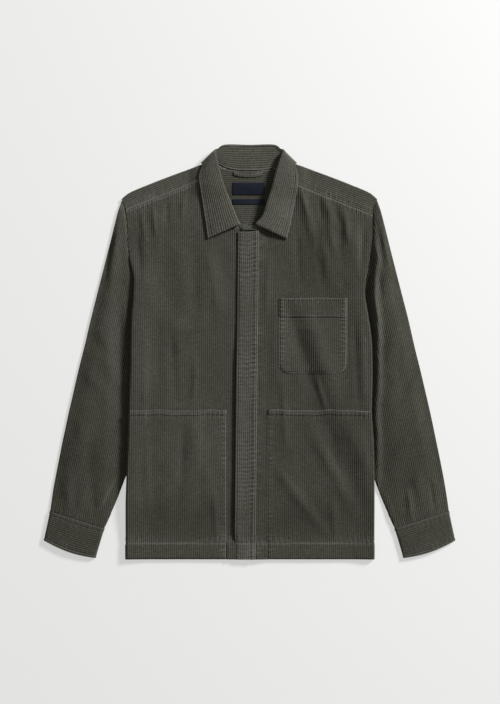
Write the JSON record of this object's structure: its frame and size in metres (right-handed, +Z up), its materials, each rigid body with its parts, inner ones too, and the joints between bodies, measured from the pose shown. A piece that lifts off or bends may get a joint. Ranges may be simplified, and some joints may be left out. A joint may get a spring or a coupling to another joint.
{
  "type": "corduroy shacket laid flat",
  "caption": "Long-sleeved corduroy shacket laid flat, front up, with shirt collar, fly front, chest pocket, lower patch pockets and cuffs.",
  "frame": {"origin": "middle of the bounding box in X and Y, on the surface that the garment lies on", "axes": "+Z up from the surface, out of the garment's front; +Y from hem to collar; +X to the right as seen from above"},
  "size_m": [0.744, 0.7498, 0.0157],
  "materials": {
    "corduroy": "olive-grey cotton corduroy, matt with a soft nap",
    "label": "dark navy woven label, bare"
  },
  "bodies": {
    "root": {"back": "corduroy", "yoke": "corduroy", "front_left": "corduroy", "front_right": "corduroy", "placket": "corduroy", "collar_stand": "corduroy", "collar_leaf": "corduroy", "sleeve_left": "corduroy", "sleeve_right": "corduroy", "cuff_left": "corduroy", "cuff_right": "corduroy", "chest_pocket": "corduroy", "lower_pocket_left": "corduroy", "lower_pocket_right": "corduroy", "hanger_loop": "corduroy", "neck_label": "label", "size_label": "label"}
  },
  "joints": []
}
